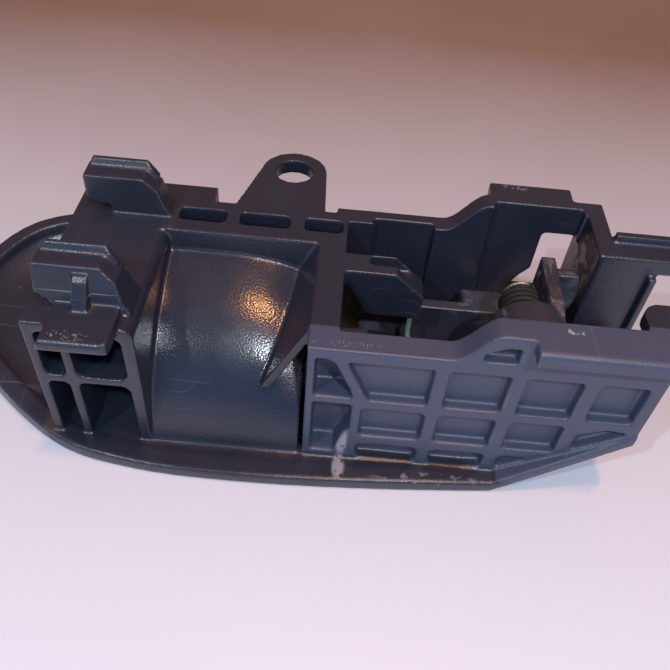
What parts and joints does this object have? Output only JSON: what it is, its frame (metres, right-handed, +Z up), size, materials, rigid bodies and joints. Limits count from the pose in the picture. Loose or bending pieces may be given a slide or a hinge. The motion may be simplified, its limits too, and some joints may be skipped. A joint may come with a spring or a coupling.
{
  "type": "car door release handle",
  "caption": "Inside door release handle lying on its face: oval bezel, finger cup, clip hooks, screw tab and a sprung lever on a pivot pin.",
  "frame": {"origin": "centre of the outline seen from above, on the face of the bezel that the part rests on", "axes": "+X along the handle from the rounded bezel end to the cable rail, +Y across it towards the screw tab, +Z up from the bezel's visible face to the mounting side"},
  "size_m": [0.146, 0.0652, 0.0413],
  "materials": {
    "housing_plastic": "moulded dark grey, fine spark texture, semi-gloss",
    "lever_plastic": "moulded dark grey, smooth",
    "grip_plastic": "dark grey, satin",
    "pin_steel": "drawn bar",
    "clip_steel": "stamped, yellow passivated",
    "spring_steel": "zinc plated wire",
    "pad_rubber": "matt black"
  },
  "bodies": {
    "housing": {"bezel": "housing_plastic", "finger_cup": "housing_plastic", "centre_wall": "housing_plastic", "clip_block": "housing_plastic", "front_clip_hook": "housing_plastic", "rear_clip_hook": "housing_plastic", "slotted_strip": "housing_plastic", "screw_tab": "housing_plastic", "front_wall": "housing_plastic", "rear_wall": "housing_plastic", "stop_block": "housing_plastic", "cable_rail": "housing_plastic", "pivot_pin": "pin_steel", "pin_clip": "clip_steel", "return_spring": "spring_steel", "stop_pad": "pad_rubber"},
    "lever": {"lever_arm": "lever_plastic", "lever_grip": "grip_plastic"}
  },
  "joints": [
    {"name": "lever_swing", "type": "hinge", "parent": "housing", "child": "lever", "pos_m": [0.0405, -0.00663, 0.0278], "axis": [0, -1, 0], "range_deg": [0, 30], "stiffness_Nm_per_rad": 0.12, "springref_deg": -20.05, "deforming": ["return_spring"]}
  ]
}
